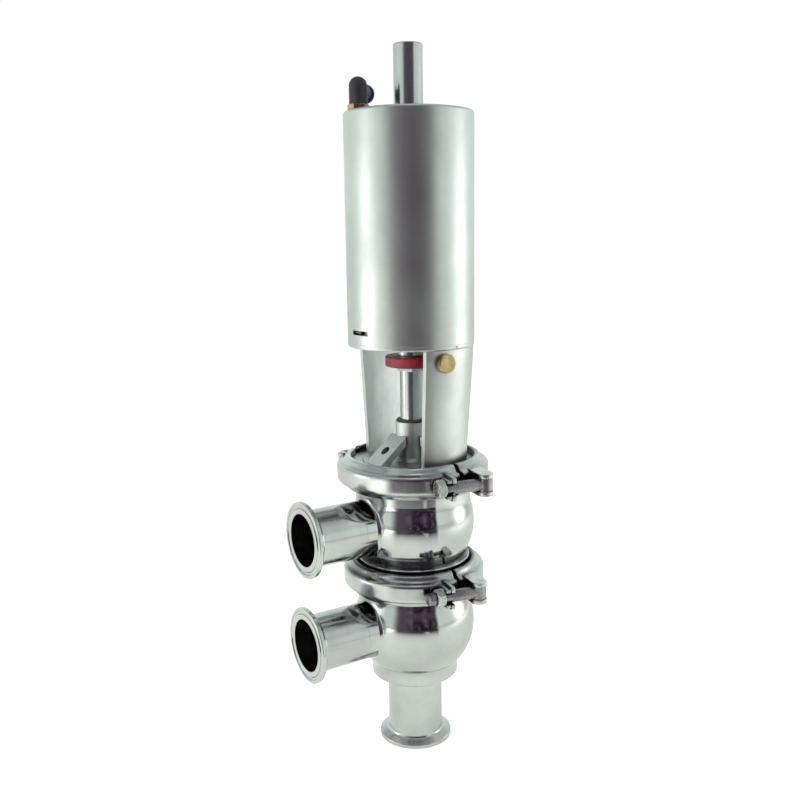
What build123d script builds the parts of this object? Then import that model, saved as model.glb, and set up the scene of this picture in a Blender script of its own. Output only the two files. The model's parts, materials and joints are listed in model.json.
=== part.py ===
from build123d import *
from math import asin, cos, degrees, radians, sin, sqrt, tan
import os

# A pneumatic divert seat valve. +Z runs up the stem from the bottom port's face, and both side ports
# face -X. All sizes are in millimetres. An azimuth is an angle about Z, counted from -Y towards +X.

# Clearances
running_gap = 0.05
fitted_gap = 0.03
loose_gap = 0.3
seat_gap = 0.3

# Sanitary tube and its clamp ferrules
tube_outer_r = 19.05
tube_wall = 1.65
ferrule_r = 25.25
ferrule_rim = 2.85
ferrule_slope = 20.0
ferrule_edge_round = 0.6
ferrule_root_round = 2.5
groove_r = 21.8
groove_section_r = 1.2

# Valve bodies
body_wall = 3.0
ball_r = 42.2
lower_port_z = 87.6
port_spacing = 72.6
port_reach = 85.0
spigot_reach = 47.0
spigot_round = 3.0
neck_blend_r = 24.0
base_blend_r = 8.0
base_ring_r = 30.4
base_z = 49.2
base_round = 1.6

# Flanges that the two clamps hold
lower_joint_rise = 35.8
lower_flange_r = 42.5
lower_neck_r = 36.6
neck_ring_r = 38.8
neck_ring_lift = 3.4
neck_ring_height = 3.4
neck_ring_chamfer = 0.5
lower_neck_wall = 3.6
upper_joint_rise = 36.3
upper_flange_r = 45.5
upper_neck_r = 39.5
upper_neck_wall = 5.0
flange_rim = 3.2
flange_slope = 20.0
gasket_thickness = 1.2
gasket_width = 5.0

# Seats
upper_seat_bore_r = 20.0
upper_seat_drop = 9.4
seat_land = 4.5
seat_skirt_wall = 3.0
seat_disc_r = 36.4
seat_recess = 3.0
lower_seat_rise = 3.0
seat_lip_r = 24.0

# Plug, stem and stroke
stroke = 28.0
plug_r = 22.6
plug_top_r = 18.6
plug_bottom_r = 16.5
plug_waist_depth = 1.6
plug_waist_margin = 6.0
plug_hub_r = 10.5
plug_hub_height = 3.0
plug_seal_depth = 3.0
plug_seal_height = 2.4
plug_seal_inset = 0.25
stem_r = 7.9
stem_thread_r = 5.0
stem_plug_depth = 20.0
stem_rod_depth = 20.0
rod_end_drop = 10.2
indicator_r = 17.6
indicator_height = 6.9
indicator_chamfer = 0.7
lock_nut_flats = 19.0
lock_nut_height = 3.0

# Bonnet
bonnet_disc = 3.4
bonnet_boss_height = 3.65
bonnet_spigot_drop = 7.0
bonnet_hub_r = 13.5
bonnet_hub_drop = 12.5
collar_r = 11.3
collar_height = 26.5
collar_root_round = 2.0
bush_wall = 1.25
bush_length = 26.0
bush_recess = 7.5
stem_seal_inset = 2.0
stem_seal_height = 6.0
stem_seal_wall = 3.6
wiper_depth = 3.0
wiper_wall = 1.6
wiper_lip_r = 10.9
wiper_lip_height = 1.4
rib_count = 3
rib_width = 18.0
rib_thickness = 4.6
rib_rise = 16.9
rib_foot_r = 31.0
rib_hole_r = 3.3
rib_hole_at_r = 21.5

# Yoke
yoke_foot = 3.4
yoke_foot_rim = 1.9
yoke_foot_slope_width = 4.1
yoke_wall = 3.0
yoke_low_r = 37.2
yoke_knee_r = 37.5
yoke_knee_height = 10.2
yoke_high_r = 41.5
yoke_height = 78.55
yoke_neck_height = 6.3
window_low_reach = 15.3
window_high_reach = 16.2
window_turn = 3.6
lip_r = 42.2
lip_height = 3.0
lip_round = 1.2
head_thickness = 5.7
head_spigot_wall = 4.6
head_spigot_height = 16.7
head_boss_r = 15.0
head_boss_height = 10.0

# Vent in the yoke, and the passage that joins it to the spring side of the cylinder
vent_azimuth = -1.8
vent_drop = 8.0
vent_head_r = 6.25
vent_head_height = 4.0
vent_head_chamfer = 0.8
vent_thread_r = 4.85
vent_thread_length = 8.0
vent_boss_inner_r = 27.5
vent_boss_half_width = 7.5
vent_boss_drop = 8.5
passage_r = 1.6
passage_at_r = 32.5
lip_screw_azimuth = 11.3
lip_screw_r = 1.0
lip_screw_length = 4.0

# Actuator cylinder
cylinder_r = 42.24
cylinder_wall = 2.5
cylinder_length = 146.9
cylinder_top_round = 1.8
top_cover_thickness = 10.0
wire_r = 1.2
wire_height = 7.7
wire_groove_side_gap = 0.4
wire_opening = 24.0
slot_azimuth = -84.0
slot_length = 16.0
slot_width = 2.8
o_ring_r = 1.5
o_ring_height = 13.0

# Piston and rods
piston_height = 15.0
piston_side_gap = 0.34
piston_top_gap = 0.5
piston_seal_height = 4.5
piston_seal_depth = 3.5
piston_pocket_depth = 8.0
piston_pocket_inner_r = 19.0
piston_pocket_outer_r = 34.5
piston_rod_r = 9.5
piston_bolt_r = 6.0
piston_bolt_length = 15.0
top_rod_r = 9.5
top_rod_height = 41.7
top_rod_round = 0.8
rod_bush_wall = 2.5
rod_seal_wall = 3.5
rod_seal_height = 4.0
rod_seal_inset = 1.2

# Return spring
spring_wire_r = 3.2
spring_mean_r = 27.0
spring_turns = 7.5

# Push-in air fitting on the top cover
fitting_azimuth = -100.0
fitting_at_r = 34.0
fitting_flats = 12.0
fitting_turn = -25.0
fitting_nut_height = 3.4
fitting_thread_r = 4.85
fitting_thread_length = 7.5
fitting_bore_r = 2.5
fitting_pivot_r = 4.0
fitting_pivot_height = 5.0
elbow_r = 5.8
elbow_height = 17.0
elbow_azimuth = 137.0
elbow_axis_drop = 8.1
elbow_leg = 16.8
elbow_leg_r = 4.9
elbow_end_round = 0.6
air_tube_socket_r = 3.1
collar_flange_r = 6.1
collar_flange_thickness = 2.0
collar_sleeve_r = 3.95
collar_sleeve_length = 5.0
collar_travel = 1.0

# Clamps
lower_clamp_lip = 2.4
upper_clamp_lip = 3.5
clamp_wall = 5.6
clamp_half_height = 10.8
clamp_edge_round = 1.0
clamp_lip_flat = 3.2
clamp_lip_round = 2.2
clamp_hollow_inset = 4.0
clamp_hollow_drop = 3.9
clamp_hollow_round = 3.5
clamp_side_drop = 4.9
clamp_side_round = 2.4
clamp_flank_gap = 0.15
clamp_rim_gap = 0.7
clamp_left_end = 3.5
clamp_right_end = 7.5
hinge_azimuth = 146.0
hinge_setback = 5.0
hinge_reach = 1.4
hinge_barrel_r = 4.4
hinge_pin_r = 2.0
hinge_tongue_half = 3.2
hinge_half_height = 7.4
hinge_root_depth = 7.0
hinge_pin_head = 0.6

# Swing bolt of each clamp
bolt_skew = 10.0
bolt_r = 3.97
lower_pivot_x = 12.9
upper_pivot_x = 15.5
pivot_reach = 10.2
pivot_pin_r = 2.2
eye_r = 4.9
eye_half_height = 4.0
fork_r = 5.3
fork_root = 16.0
fork_gap_root = 6.4
fork_half_height = 7.2
lower_lug_start = 19.4
upper_lug_start = 22.6
lug_thickness = 5.8
lug_plate = 2.4
lug_half_height = 7.7
lug_root = 10.5
lug_tip = 5.4
lug_round = 2.0
lug_hub_half_height = 6.1
lug_hub_tip = 4.6
nut_flats = 11.0
nut_height = 5.6
nut_chamfer = 0.9
lower_bolt_tip = 5.7
upper_bolt_tip = 0.4

# Sizes that follow from those above
tube_bore_r = tube_outer_r - tube_wall
upper_port_z = lower_port_z + port_spacing
lower_joint_z = lower_port_z + lower_joint_rise
upper_joint_z = upper_port_z + upper_joint_rise
ball_bore_r = ball_r - body_wall
lower_stack_half = flange_rim + gasket_thickness / 2
lower_face_z = lower_joint_z - gasket_thickness / 2
upper_face_z = lower_joint_z + gasket_thickness / 2
neck_flange_height = flange_rim + (lower_flange_r - lower_neck_r) * tan(radians(flange_slope))
neck_ring_z = upper_face_z + neck_flange_height + neck_ring_lift
upper_stack_half = (flange_rim + gasket_thickness + bonnet_disc + yoke_foot_rim) / 2
bonnet_gasket_z = upper_joint_z - upper_stack_half + flange_rim
bonnet_z = bonnet_gasket_z + gasket_thickness
yoke_z = bonnet_z + bonnet_disc
yoke_foot_top_z = yoke_z + yoke_foot
yoke_knee_z = yoke_foot_top_z + yoke_knee_height
lip_z = yoke_foot_top_z + yoke_height
yoke_high_z = lip_z - yoke_neck_height
cylinder_bottom_z = lip_z + lip_height
vent_z = lip_z - vent_drop
bonnet_top_z = yoke_z + bonnet_boss_height
bonnet_hub_z = bonnet_z - bonnet_hub_drop
collar_top_z = bonnet_top_z + collar_height
bush_bottom_z = collar_top_z - bush_recess - bush_length
stem_seal_z = bonnet_hub_z + stem_seal_inset
rib_top_z = bonnet_top_z + rib_rise
cylinder_bore_r = cylinder_r - cylinder_wall
cylinder_top_z = cylinder_bottom_z + cylinder_length
cover_z = cylinder_top_z - top_cover_thickness
head_floor_z = cylinder_bottom_z + head_thickness
head_spigot_r = cylinder_bore_r - 3 * running_gap
piston_top_z = cover_z - piston_top_gap
piston_z = piston_top_z - piston_height
top_rod_top_z = cylinder_top_z + top_rod_height
rod_end_z = cylinder_bottom_z - rod_end_drop
indicator_z = rod_end_z - indicator_height
lock_nut_z = indicator_z - lock_nut_height
upper_seat_z = lower_joint_z - upper_seat_drop
lower_seat_z = base_z + lower_seat_rise
seat_cone_top = upper_seat_z + upper_seat_bore_r
seat_cone_low = lower_seat_z - tube_bore_r
cone_gap = seat_gap * sqrt(2)
plug_top_z = seat_cone_top - cone_gap - plug_top_r
plug_bottom_z = seat_cone_low + cone_gap + stroke + plug_bottom_r


def polar(radius, azimuth, z=0.0):
    """A point at a radius and azimuth about Z."""
    return Vector(radius * sin(radians(azimuth)), -radius * cos(radians(azimuth)), z)


def turned(corners, rounds=(), arc=360.0):
    """A solid turned about Z from its (radius, height) corners, with some corners rounded."""
    face = make_face(Polyline(*corners, close=True))
    for corner, radius in rounds:
        nearest = face.vertices().sort_by_distance(Vector(*corner))[0]
        face = fillet(nearest, radius)
    return revolve(Plane.XZ * face, Axis.Z, arc)


def ring(inner_r, outer_r, low_z, high_z):
    """A plain ring about Z."""
    return turned([(inner_r, low_z), (outer_r, low_z), (outer_r, high_z), (inner_r, high_z)])


def drum(radius, low_z, high_z):
    """A plain round bar about Z."""
    return Pos(0, 0, (low_z + high_z) / 2) * Cylinder(radius, high_z - low_z)


def radial(solid, azimuth, z=0.0):
    """Turns a solid that was drawn along +Z so that it points outwards at an azimuth and height."""
    out = polar(1, azimuth)
    return Plane(origin=(0, 0, z), x_dir=(out.Y, -out.X, 0), z_dir=out) * solid


def slab(low, high):
    """A box between two corners."""
    size = [b - a for a, b in zip(low, high)]
    centre = [(a + b) / 2 for a, b in zip(low, high)]
    return Pos(*centre) * Box(*size)


def hexagon(flats, low_z, high_z, chamfer_size=0.0):
    """A hexagonal bar about Z, with its corners turned off at both ends."""
    corner_r = flats / sqrt(3)
    bar = Pos(0, 0, low_z) * extrude(RegularPolygon(corner_r, 6), high_z - low_z)
    if chamfer_size > 0:
        chamfer_r = corner_r - chamfer_size
        cap = [(0, low_z), (chamfer_r, low_z), (corner_r, low_z + chamfer_size)]
        cap += [(corner_r, high_z - chamfer_size), (chamfer_r, high_z), (0, high_z)]
        bar = bar & turned(cap)
    return bar


# Ferrules

def ferrule(length):
    """A clamp ferrule: its face is at z = 0 and its tube runs up to the weld."""
    slope_height = (ferrule_r - tube_outer_r) * tan(radians(ferrule_slope))
    root = (tube_outer_r, ferrule_rim + slope_height)
    corners = [(tube_bore_r, 0), (ferrule_r, 0), (ferrule_r, ferrule_rim), root]
    corners += [(tube_outer_r, length), (tube_bore_r, length)]
    rounds = [((ferrule_r, 0), ferrule_edge_round), ((ferrule_r, ferrule_rim), ferrule_edge_round)]
    rounds += [(root, ferrule_root_round)]
    groove = revolve(Plane.XZ * (Pos(groove_r, 0) * Circle(groove_section_r)), Axis.Z)
    return turned(corners, rounds) - groove


def side_ferrule(port_z):
    """A ferrule welded to a body's side spigot."""
    return Pos(-port_reach, 0, port_z) * Rot(0, 90, 0) * ferrule(port_reach - spigot_reach)


# Valve bodies

def clamp_flange(neck_r, rim_r, face_z, side):
    """Half of a clamped joint: a rim with a sloped back, on the side +1 (above) or -1 (below)."""
    back_z = face_z + side * flange_rim
    root_z = back_z + side * (rim_r - neck_r) * tan(radians(flange_slope))
    inner_r = neck_r - body_wall
    return turned([(inner_r, face_z), (rim_r, face_z), (rim_r, back_z), (neck_r, root_z), (inner_r, root_z)])


def ball_height(radius):
    """How far from a ball's centre plane its surface reaches a given radius."""
    return sqrt(ball_r ** 2 - radius ** 2)


def side_spigot(port_z):
    """The drawn-out collar on the ball that a side ferrule is welded to."""
    return Pos(-spigot_reach / 2, 0, port_z) * Rot(0, 90, 0) * Cylinder(tube_outer_r, spigot_reach)


def side_bore(port_z):
    """The way from a side port into the ball."""
    return Pos(-port_reach / 2, 0, port_z) * Rot(0, 90, 0) * Cylinder(tube_bore_r, port_reach)


def pressed_ball(port_z, low, high):
    """A pressed ball that runs smoothly into a neck below and above, with its side spigot blended in.

    Each neck is given as its radius, the height of its end and the radius of its blend.
    """
    half = Pos(ball_r, port_z) * Rectangle(2 * ball_r, 4 * ball_r)
    profile = Pos(0, port_z) * Circle(ball_r) & half
    creases = []
    for side, (neck_r, end_z, blend_r) in ((-1, low), (1, high)):
        crease_z = port_z + side * ball_height(neck_r)
        far_z = port_z + side * 2 * ball_r
        profile -= Pos(ball_r, (crease_z + far_z) / 2) * Rectangle(2 * ball_r, abs(far_z - crease_z))
        profile += Pos(neck_r / 2, (port_z + end_z) / 2) * Rectangle(neck_r, abs(end_z - port_z))
        creases.append((neck_r, crease_z, blend_r))
    for neck_r, crease_z, blend_r in creases:
        crease = profile.vertices().sort_by_distance((neck_r, crease_z, 0))[0]
        profile = fillet(crease, blend_r)
    joined = revolve(Plane.XZ * profile, Axis.Z) + side_spigot(port_z)
    seam_x = -ball_height(tube_outer_r)
    seam = joined.edges().filter_by(lambda edge: edge.center().X < seam_x / 2)
    seam = seam.filter_by(lambda edge: edge.center().X > -spigot_reach + spigot_round)
    return fillet(seam, spigot_round)


def lower_body():
    """The lower ball, its base with the bottom seat, and the flange under the lower clamp."""
    outside = pressed_ball(lower_port_z, (base_ring_r, base_z, base_blend_r),
                           (lower_neck_r, lower_face_z, neck_blend_r))
    outside -= ring(base_ring_r - base_round, ball_r, base_z - base_round, base_z + base_round)
    outside += turned(
        [(0, base_z), (base_ring_r, base_z), (base_ring_r, base_z + 2 * base_round), (0, base_z + 2 * base_round)],
        [((base_ring_r, base_z), base_round)],
    )
    outside += clamp_flange(lower_neck_r, lower_flange_r, lower_face_z, -1)
    neck_bore_r = lower_neck_r - lower_neck_wall
    lip_z_here = lower_seat_z + seat_lip_r - tube_bore_r
    chamber = Pos(0, 0, lower_port_z) * Sphere(ball_bore_r)
    chamber -= drum(ball_r, lower_port_z - 2 * ball_r, lip_z_here)
    seat = turned([(0, base_z), (tube_bore_r, base_z), (tube_bore_r, lower_seat_z),
                   (seat_lip_r, lip_z_here), (0, lip_z_here + body_wall)])
    recess = drum(seat_disc_r + running_gap, lower_face_z - seat_recess, lower_face_z)
    outside -= drum(neck_bore_r, lower_port_z, lower_face_z)
    return outside - chamber - seat - recess - side_bore(lower_port_z)


def upper_body():
    """The upper ball between the two clamps."""
    outside = pressed_ball(upper_port_z, (lower_neck_r, upper_face_z, neck_blend_r),
                           (upper_neck_r, bonnet_gasket_z, neck_blend_r))
    outside += neck_ring()
    outside += clamp_flange(lower_neck_r, lower_flange_r, upper_face_z, 1)
    outside += clamp_flange(upper_neck_r, upper_flange_r, bonnet_gasket_z, -1)
    chamber = Pos(0, 0, upper_port_z) * Sphere(ball_bore_r)
    low_bore = drum(lower_neck_r - lower_neck_wall, upper_face_z, upper_port_z)
    high_bore = drum(upper_neck_r - upper_neck_wall, upper_port_z, bonnet_gasket_z)
    recess = drum(seat_disc_r + running_gap, upper_face_z, upper_face_z + seat_recess)
    return outside - chamber - low_bore - high_bore - recess - side_bore(upper_port_z)


def neck_ring():
    """The raised ring on the upper body's neck, just above the lower clamp."""
    top_z = neck_ring_z + neck_ring_height
    cut_r = neck_ring_r - neck_ring_chamfer
    inner_r = lower_neck_r - body_wall
    corners = [(inner_r, neck_ring_z), (cut_r, neck_ring_z), (neck_ring_r, neck_ring_z + neck_ring_chamfer)]
    corners += [(neck_ring_r, top_z - neck_ring_chamfer), (cut_r, top_z), (inner_r, top_z)]
    return turned(corners)


def seat_ring():
    """The upper seat: a disc held between the bodies, with a skirt that ends in a conical land."""
    disc_low_z = lower_face_z - seat_recess + fitted_gap
    disc_high_z = upper_face_z + seat_recess - fitted_gap
    land_r = upper_seat_bore_r + seat_land
    land_z = upper_seat_z - seat_land
    skirt_r = land_r + seat_skirt_wall
    corners = [(upper_seat_bore_r, upper_seat_z), (land_r, land_z), (skirt_r, land_z), (skirt_r, disc_low_z)]
    corners += [(seat_disc_r, disc_low_z), (seat_disc_r, disc_high_z), (upper_seat_bore_r, disc_high_z)]
    rounds = [((upper_seat_bore_r, disc_high_z), body_wall / 2), ((skirt_r, disc_low_z), body_wall / 2)]
    return turned(corners, rounds)


def flat_gasket(rim_r, face_z):
    """A flat gasket between two clamped faces, out to their rim."""
    outer_r = rim_r - loose_gap
    return ring(outer_r - gasket_width, outer_r, face_z + fitted_gap, face_z + gasket_thickness - fitted_gap)


# Bonnet, with the pieces that guide and seal the stem

def bonnet():
    """The cover of the upper body, with the stem's guide collar held up by sloping drilled ribs."""
    spigot_r = upper_neck_r - upper_neck_wall - loose_gap
    spigot_z = bonnet_z - bonnet_spigot_drop
    boss_r = yoke_low_r - yoke_wall - loose_gap
    foot_r = collar_r + collar_root_round
    corners = [(0, bonnet_hub_z), (bonnet_hub_r, bonnet_hub_z), (spigot_r, spigot_z), (spigot_r, bonnet_z)]
    corners += [(upper_flange_r, bonnet_z), (upper_flange_r, yoke_z - fitted_gap), (boss_r, yoke_z - fitted_gap)]
    corners += [(boss_r, bonnet_top_z), (foot_r, bonnet_top_z), (collar_r, bonnet_top_z + collar_root_round)]
    corners += [(collar_r, collar_top_z), (0, collar_top_z)]
    solid = turned(corners, [((boss_r, bonnet_top_z), loose_gap)])
    for index in range(rib_count):
        solid += Rot(0, 0, 180 + index * 360 / rib_count) * rib()
    way_r = stem_r + 2 * running_gap
    solid -= drum(way_r, bonnet_hub_z, collar_top_z)
    solid -= drum(stem_r + stem_seal_wall, stem_seal_z, stem_seal_z + stem_seal_height)
    solid -= drum(stem_r + bush_wall, bush_bottom_z, collar_top_z)
    solid -= drum(stem_r + wiper_wall, collar_top_z - wiper_depth, collar_top_z)
    return solid


def rib():
    """One sloping rib of the bonnet, drawn towards +X, with its round drilling."""
    inner_r = collar_r - bush_wall / 2
    rise = rib_top_z - bonnet_top_z
    run = rib_foot_r - collar_r
    slope = degrees(asin(rise / sqrt(rise ** 2 + run ** 2)))
    depth = rib_thickness / cos(radians(slope))
    toe_r = rib_foot_r - depth / tan(radians(slope))
    start_z = rib_top_z + (collar_r - inner_r) * rise / run
    corners = [(inner_r, start_z), (rib_foot_r, bonnet_top_z), (toe_r, bonnet_top_z - loose_gap)]
    corners += [(inner_r, start_z - depth)]
    bar = extrude(Plane.XZ * make_face(Polyline(*corners, close=True)), rib_width / 2, both=True)
    hole_z = bonnet_top_z + (rib_foot_r - rib_hole_at_r) * rise / run
    hole = Pos(rib_hole_at_r, 0, hole_z) * Rot(0, slope, 0) * Cylinder(rib_hole_r, 4 * rib_thickness)
    boss_below = drum(rib_foot_r, bonnet_hub_z, bonnet_top_z - loose_gap)
    return bar - (hole - boss_below)


def stem_seal():
    """The lip seal that keeps the product out of the bonnet."""
    low_z = stem_seal_z + fitted_gap
    high_z = stem_seal_z + stem_seal_height - fitted_gap
    outer_r = stem_r + stem_seal_wall - fitted_gap
    return ring(stem_r + running_gap, outer_r, low_z, high_z)


def stem_bush():
    """The plain bush that guides the stem in the collar."""
    outer_r = stem_r + bush_wall - fitted_gap
    low_z = bush_bottom_z + fitted_gap
    return ring(stem_r + running_gap, outer_r, low_z, low_z + bush_length)


def stem_wiper():
    """The black wiper on the collar, with a lip that lies on the collar's top."""
    inner_r = stem_r + running_gap
    body_r = stem_r + wiper_wall - fitted_gap
    low_z = collar_top_z - wiper_depth + fitted_gap
    lip_low_z = collar_top_z + fitted_gap
    lip_high_z = lip_low_z + wiper_lip_height
    corners = [(inner_r, low_z), (body_r, low_z), (body_r, lip_low_z), (wiper_lip_r, lip_low_z)]
    corners += [(wiper_lip_r - wiper_lip_height / 2, lip_high_z), (inner_r, lip_high_z)]
    return turned(corners)


# Yoke

def yoke():
    """The lantern casting: a clamped foot, a tapered shell with one window, and the cylinder's head."""
    foot_low_r = upper_flange_r - yoke_foot_slope_width
    inner_r = yoke_low_r - yoke_wall
    foot = [(inner_r, yoke_z), (upper_flange_r, yoke_z), (upper_flange_r, yoke_z + yoke_foot_rim)]
    foot += [(foot_low_r, yoke_foot_top_z), (inner_r, yoke_foot_top_z)]
    outside = [(yoke_low_r, yoke_foot_top_z), (yoke_knee_r, yoke_knee_z), (yoke_high_r, yoke_high_z),
               (yoke_high_r, lip_z)]
    inside = [(r - yoke_wall, z) for r, z in reversed(outside)]
    shell = turned(outside + inside)
    window = [(-2 * lip_r, yoke_foot_top_z), (-window_low_reach, yoke_foot_top_z), (-window_high_reach, lip_z)]
    window += [(-2 * lip_r, lip_z)]
    cut = extrude(Plane.XZ * make_face(Polyline(*window, close=True)), lip_r, both=True)
    shell -= Rot(0, 0, window_turn) * cut
    solid = shell + turned(foot) + head() + vent_boss()
    for passage in vent_passages():
        solid -= passage
    return solid


def head():
    """The yoke's top: its lip carries the cylinder, and its spigot goes up inside it."""
    bore_r = piston_rod_r + 2 * running_gap
    spigot_inner_r = head_spigot_r - head_spigot_wall
    spigot_top_z = cylinder_bottom_z + head_spigot_height
    boss_top_z = head_floor_z + head_boss_height
    corners = [(bore_r, lip_z), (lip_r, lip_z), (lip_r, cylinder_bottom_z - fitted_gap)]
    corners += [(head_spigot_r, cylinder_bottom_z - fitted_gap), (head_spigot_r, spigot_top_z)]
    corners += [(spigot_inner_r, spigot_top_z), (spigot_inner_r, head_floor_z), (head_boss_r, head_floor_z)]
    corners += [(head_boss_r, boss_top_z), (bore_r, boss_top_z)]
    solid = turned(corners, [((lip_r, lip_z), lip_round)])
    solid -= wire_groove(wire_r)
    o_ring_z = cylinder_bottom_z + o_ring_height
    groove_half = o_ring_r + fitted_gap
    solid -= ring(head_spigot_r - 2 * o_ring_r + running_gap, cylinder_r, o_ring_z - groove_half,
                  o_ring_z + groove_half)
    seal_low_z = lip_z + rod_seal_inset
    solid -= drum(piston_rod_r + rod_seal_wall, seal_low_z, seal_low_z + rod_seal_height)
    solid -= drum(piston_rod_r + rod_bush_wall, seal_low_z + rod_seal_height + rod_seal_inset, boss_top_z)
    return solid


def wire_groove(depth):
    """The groove for the retaining wire, cut to a depth on both sides of the fit."""
    wire_z = cylinder_bottom_z + wire_height
    half = wire_r + wire_groove_side_gap
    return ring(cylinder_bore_r - depth - running_gap, cylinder_bore_r + depth, wire_z - half, wire_z + half)


def vent_boss():
    """The pad inside the yoke wall that the vent screws into."""
    reach = yoke_high_r - yoke_wall / 2
    block = slab((-vent_boss_half_width, -reach, vent_z - vent_boss_drop),
                 (vent_boss_half_width, -vent_boss_inner_r, lip_z))
    keep = drum(yoke_high_r - yoke_wall / 2, vent_z - vent_boss_drop, lip_z)
    return Rot(0, 0, vent_azimuth) * block & keep


def vent_passages():
    """The vent's thread, the upright drilling to the cylinder, and the lip screw's hole."""
    floor_r = passage_at_r - 2 * passage_r
    thread = radial(drum(vent_thread_r, floor_r, yoke_high_r + yoke_wall), vent_azimuth, vent_z)
    upright = Pos(*polar(passage_at_r, vent_azimuth)) * drum(passage_r, vent_z, head_floor_z + passage_r)
    hole_start_r = lip_r - lip_screw_length - loose_gap
    hole = radial(drum(lip_screw_r, hole_start_r, lip_r + yoke_wall), lip_screw_azimuth, lip_middle_z())
    return thread, upright, hole


def lip_middle_z():
    """The height of the lip's middle, where its screw sits."""
    return lip_z + lip_height / 2


def vent_plug():
    """The brass vent: a round sintered head on a thread."""
    seat_r = yoke_high_r + running_gap
    face_r = seat_r + vent_head_height
    thread_r = vent_thread_r - fitted_gap
    corners = [(0, seat_r - vent_thread_length), (thread_r, seat_r - vent_thread_length), (thread_r, seat_r)]
    corners += [(vent_head_r, seat_r), (vent_head_r, face_r - vent_head_chamfer)]
    corners += [(vent_head_r - vent_head_chamfer, face_r), (0, face_r)]
    return radial(turned(corners), vent_azimuth, vent_z)


def lip_screw():
    """The small grub screw in the yoke's lip."""
    start_r = lip_r - lip_screw_length
    end_r = lip_r - running_gap
    return radial(drum(lip_screw_r - fitted_gap, start_r, end_r), lip_screw_azimuth, lip_middle_z())


def retaining_wire():
    """The open wire ring that locks the yoke's head into the cylinder."""
    section = Plane.XZ * (Pos(cylinder_bore_r, cylinder_bottom_z + wire_height) * Circle(wire_r - running_gap))
    hoop = revolve(section, Axis.Z, 360 - wire_opening)
    return Rot(0, 0, slot_azimuth - 90 + wire_opening) * hoop


def head_o_ring():
    """The O-ring between the yoke's head and the cylinder."""
    at_r = head_spigot_r - o_ring_r + running_gap
    section = Plane.XZ * (Pos(at_r, cylinder_bottom_z + o_ring_height) * Circle(o_ring_r - running_gap))
    return revolve(section, Axis.Z)


def rod_bush():
    """The bush that guides the piston rod in the yoke's head."""
    low_z = lip_z + 2 * rod_seal_inset + rod_seal_height + fitted_gap
    high_z = head_floor_z + head_boss_height
    return ring(piston_rod_r + running_gap, piston_rod_r + rod_bush_wall - fitted_gap, low_z, high_z)


def rod_seal():
    """The seal of the piston rod in the yoke's head."""
    low_z = lip_z + rod_seal_inset + fitted_gap
    high_z = low_z + rod_seal_height - 2 * fitted_gap
    return ring(piston_rod_r + running_gap, piston_rod_r + rod_seal_wall - fitted_gap, low_z, high_z)


# Actuator

def actuator_cylinder():
    """The plain tube of the actuator, with the slot that the retaining wire is fed in through."""
    corners = [(cylinder_bore_r, cylinder_bottom_z), (cylinder_r, cylinder_bottom_z)]
    corners += [(cylinder_r, cylinder_top_z), (cylinder_bore_r, cylinder_top_z)]
    tube = turned(corners, [((cylinder_r, cylinder_top_z), cylinder_top_round)])
    wire_z = cylinder_bottom_z + wire_height
    slot = slab((-slot_length / 2, -cylinder_r - body_wall, wire_z - slot_width / 2),
                (slot_length / 2, -cylinder_bore_r + body_wall, wire_z + slot_width / 2))
    return tube - wire_groove(wire_r) - Rot(0, 0, slot_azimuth) * slot


def top_cover():
    """The disc welded into the top of the cylinder, with the rod's way and the air port."""
    disc = ring(top_rod_r + 2 * running_gap, cylinder_bore_r - fitted_gap, cover_z, cylinder_top_z)
    seal_high_z = cylinder_top_z - rod_seal_inset
    disc -= drum(top_rod_r + rod_seal_wall, seal_high_z - rod_seal_height, seal_high_z)
    bush_high_z = seal_high_z - rod_seal_height - rod_seal_inset
    disc -= drum(top_rod_r + rod_bush_wall, cover_z, bush_high_z)
    return disc - Pos(*polar(fitting_at_r, fitting_azimuth)) * drum(fitting_thread_r, cover_z, cylinder_top_z)


def top_rod_bush():
    """The bush that guides the top rod in the cover."""
    high_z = cylinder_top_z - 2 * rod_seal_inset - rod_seal_height - fitted_gap
    return ring(top_rod_r + running_gap, top_rod_r + rod_bush_wall - fitted_gap, cover_z, high_z)


def top_rod_seal():
    """The seal of the top rod in the cover."""
    high_z = cylinder_top_z - rod_seal_inset - fitted_gap
    low_z = high_z - rod_seal_height + 2 * fitted_gap
    return ring(top_rod_r + running_gap, top_rod_r + rod_seal_wall - fitted_gap, low_z, high_z)


def piston():
    """The piston, with a pocket below for the spring and a groove for its seal."""
    outer_r = cylinder_bore_r - piston_side_gap
    corners = [(piston_bolt_r + fitted_gap, piston_z), (piston_pocket_inner_r, piston_z)]
    corners += [(piston_pocket_inner_r, piston_z + piston_pocket_depth)]
    corners += [(piston_pocket_outer_r, piston_z + piston_pocket_depth), (piston_pocket_outer_r, piston_z)]
    corners += [(outer_r, piston_z), (outer_r, piston_top_z), (piston_bolt_r + fitted_gap, piston_top_z)]
    middle_z = piston_z + piston_height / 2
    groove_half = piston_seal_height / 2 + fitted_gap
    groove = ring(outer_r - piston_seal_depth, cylinder_r, middle_z - groove_half, middle_z + groove_half)
    return turned(corners) - groove


def piston_seal():
    """The sliding seal round the piston."""
    middle_z = piston_z + piston_height / 2
    half = piston_seal_height / 2
    inner_r = cylinder_bore_r - piston_side_gap - piston_seal_depth + fitted_gap
    return ring(inner_r, cylinder_bore_r - running_gap, middle_z - half, middle_z + half)


def piston_rod():
    """The lower rod, drilled for the stem's thread, with the bolt that holds the piston on top."""
    bolt_top_z = piston_top_z + piston_bolt_length
    rod = drum(piston_rod_r, rod_end_z, piston_z - fitted_gap) + drum(piston_bolt_r, piston_z - loose_gap, bolt_top_z)
    return rod - drum(stem_thread_r + fitted_gap, rod_end_z, rod_end_z + stem_rod_depth + loose_gap)


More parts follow.
